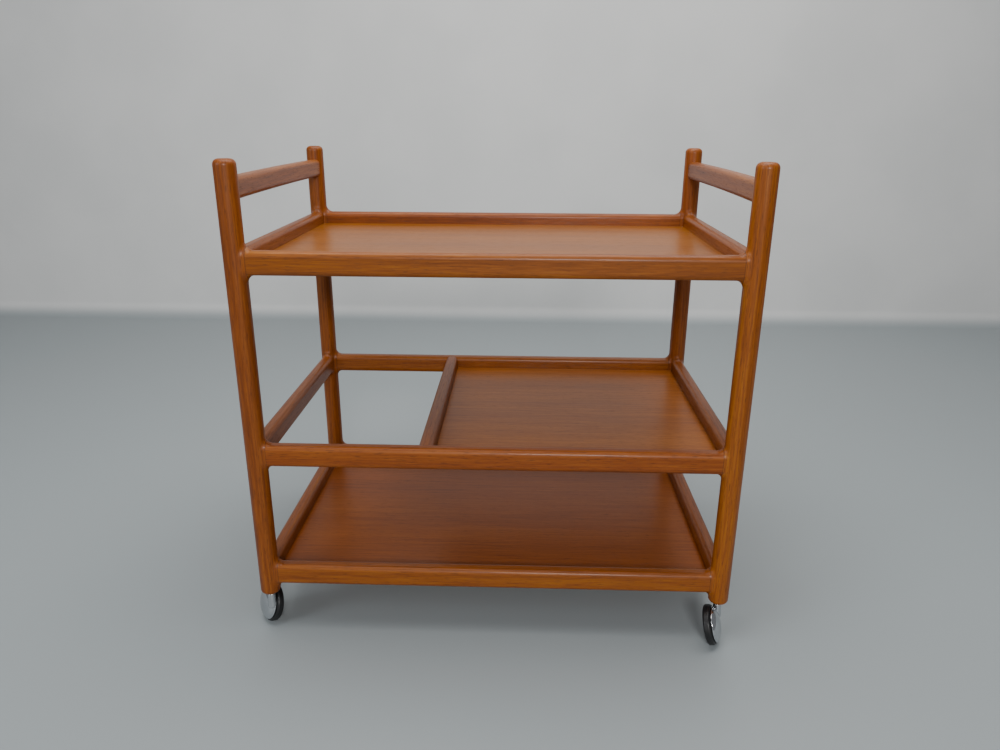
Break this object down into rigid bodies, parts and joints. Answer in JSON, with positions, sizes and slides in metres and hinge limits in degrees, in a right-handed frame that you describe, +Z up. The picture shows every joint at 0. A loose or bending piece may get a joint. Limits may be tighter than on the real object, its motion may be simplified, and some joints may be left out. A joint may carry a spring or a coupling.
{
  "type": "bar cart",
  "caption": "Teak serving trolley with shelves framed by rounded rails, an open bottle bay, end handles and swivelling ball casters.",
  "frame": {"origin": "on the floor, midway between the posts", "axes": "+X to the right along the long rails, +Y from the front to the rear, +Z up"},
  "size_m": [0.7814, 0.5472, 0.7385],
  "materials": {
    "post_wood": "oiled teak, satin",
    "rail_wood": "oiled teak, satin",
    "side_rail_wood": "oiled teak, satin",
    "handle_wood": "oiled teak, satin",
    "panel_veneer": "lacquered teak veneer, satin",
    "dowel_wood": "plain beech",
    "hood_chrome": "polished chrome plate",
    "axle_chrome": "polished chrome plate",
    "stem_steel": "turned steel",
    "socket_steel": "zinc-plated steel",
    "wheel_plastic": "moulded black plastic",
    "tyre_rubber": "smooth black rubber"
  },
  "bodies": {
    "cart": {"post_front_left": "post_wood", "post_front_right": "post_wood", "post_rear_left": "post_wood", "post_rear_right": "post_wood", "rail_lower_front": "rail_wood", "rail_lower_rear": "rail_wood", "rail_lower_left": "side_rail_wood", "rail_lower_right": "side_rail_wood", "panel_lower": "panel_veneer", "dowels_lower": "dowel_wood", "rail_middle_front": "rail_wood", "rail_middle_rear": "rail_wood", "rail_middle_left": "side_rail_wood", "rail_middle_right": "side_rail_wood", "panel_middle": "panel_veneer", "dowels_middle": "dowel_wood", "rail_upper_front": "rail_wood", "rail_upper_rear": "rail_wood", "rail_upper_left": "side_rail_wood", "rail_upper_right": "side_rail_wood", "panel_upper": "panel_veneer", "dowels_upper": "dowel_wood", "divider": "side_rail_wood", "handle_left": "handle_wood", "handle_right": "handle_wood", "socket_front_left": "socket_steel", "socket_front_right": "socket_steel", "socket_rear_left": "socket_steel", "socket_rear_right": "socket_steel"},
    "caster_front_left": {"stem_front_left": "stem_steel", "hood_front_left": "hood_chrome", "axle_front_left": "axle_chrome"},
    "wheel_front_left": {"wheel_front_left": "wheel_plastic", "tyre_front_left": "tyre_rubber"},
    "caster_front_right": {"stem_front_right": "stem_steel", "hood_front_right": "hood_chrome", "axle_front_right": "axle_chrome"},
    "wheel_front_right": {"wheel_front_right": "wheel_plastic", "tyre_front_right": "tyre_rubber"},
    "caster_rear_left": {"stem_rear_left": "stem_steel", "hood_rear_left": "hood_chrome", "axle_rear_left": "axle_chrome"},
    "wheel_rear_left": {"wheel_rear_left": "wheel_plastic", "tyre_rear_left": "tyre_rubber"},
    "caster_rear_right": {"stem_rear_right": "stem_steel", "hood_rear_right": "hood_chrome", "axle_rear_right": "axle_chrome"},
    "wheel_rear_right": {"wheel_rear_right": "wheel_plastic", "tyre_rear_right": "tyre_rubber"}
  },
  "joints": [
    {"name": "front_left_swivel", "type": "hinge", "parent": "cart", "child": "caster_front_left", "pos_m": [-0.359, -0.2275, 0.0645], "axis": [0, 0, 1], "continuous": true},
    {"name": "front_left_roll", "type": "hinge", "parent": "caster_front_left", "child": "wheel_front_left", "pos_m": [-0.36557, -0.20897, 0.03076], "axis": [-0.7217, -0.6274, 0.2924], "continuous": true},
    {"name": "front_right_swivel", "type": "hinge", "parent": "cart", "child": "caster_front_right", "pos_m": [0.359, -0.2275, 0.0645], "axis": [0, 0, 1], "continuous": true},
    {"name": "front_right_roll", "type": "hinge", "parent": "caster_front_right", "child": "wheel_front_right", "pos_m": [0.34663, -0.24279, 0.03076], "axis": [0.912, -0.2876, 0.2924], "continuous": true},
    {"name": "rear_left_swivel", "type": "hinge", "parent": "cart", "child": "caster_rear_left", "pos_m": [-0.359, 0.2275, 0.0645], "axis": [0, 0, 1], "continuous": true},
    {"name": "rear_left_roll", "type": "hinge", "parent": "caster_rear_left", "child": "wheel_rear_left", "pos_m": [-0.34663, 0.24279, 0.03076], "axis": [-0.912, 0.2876, 0.2924], "continuous": true},
    {"name": "rear_right_swivel", "type": "hinge", "parent": "cart", "child": "caster_rear_right", "pos_m": [0.359, 0.2275, 0.0645], "axis": [0, 0, 1], "continuous": true},
    {"name": "rear_right_roll", "type": "hinge", "parent": "caster_rear_right", "child": "wheel_rear_right", "pos_m": [0.36557, 0.20897, 0.03076], "axis": [0.7217, 0.6274, 0.2924], "continuous": true}
  ]
}
